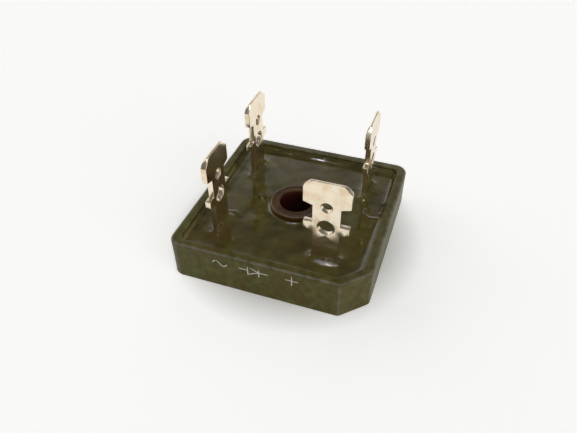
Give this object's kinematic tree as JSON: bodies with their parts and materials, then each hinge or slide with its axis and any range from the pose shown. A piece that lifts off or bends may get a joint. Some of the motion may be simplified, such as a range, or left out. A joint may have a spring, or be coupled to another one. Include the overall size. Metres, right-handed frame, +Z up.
{
  "type": "bridge rectifier",
  "caption": "Square potted bridge rectifier with metal base, centre screw hole, one cut corner and upright push-on blade terminals.",
  "frame": {"origin": "centre of the screw hole on the underside", "axes": "+Z up out of the terminal side, along the screw hole; -Y the front side; the cut corner is at +X -Y, beside the plus terminal"},
  "size_m": [0.0286, 0.0286, 0.0181],
  "materials": {
    "case_plastic": "moulded black thermoset, satin, faintly mottled",
    "resin": "cast black epoxy, glossy",
    "sleeve_plastic": "moulded dark brown-black plastic, glossy",
    "plate_metal": "nickel-plated, lapped flat",
    "terminal_metal": "bright nickel plate over stamped copper alloy",
    "insulator_ceramic": "fired alumina, matt",
    "chip_silicon": "metallised silicon",
    "solder": "dull solder"
  },
  "bodies": {
    "root": {"case_frame": "case_plastic", "base_plate": "plate_metal", "insulator_plate": "insulator_ceramic", "mounting_sleeve": "sleeve_plastic", "terminal_ac_left": "terminal_metal", "terminal_ac_right": "terminal_metal", "terminal_minus": "terminal_metal", "terminal_plus": "terminal_metal", "chip_left_plus": "chip_silicon", "chip_left_minus": "chip_silicon", "chip_right_plus": "chip_silicon", "chip_right_minus": "chip_silicon", "solder_under_left_plus": "solder", "solder_over_left_plus": "solder", "solder_under_left_minus": "solder", "solder_over_left_minus": "solder", "solder_under_right_plus": "solder", "solder_over_right_plus": "solder", "solder_under_right_minus": "solder", "solder_over_right_minus": "solder", "potting": "resin"}
  },
  "joints": []
}
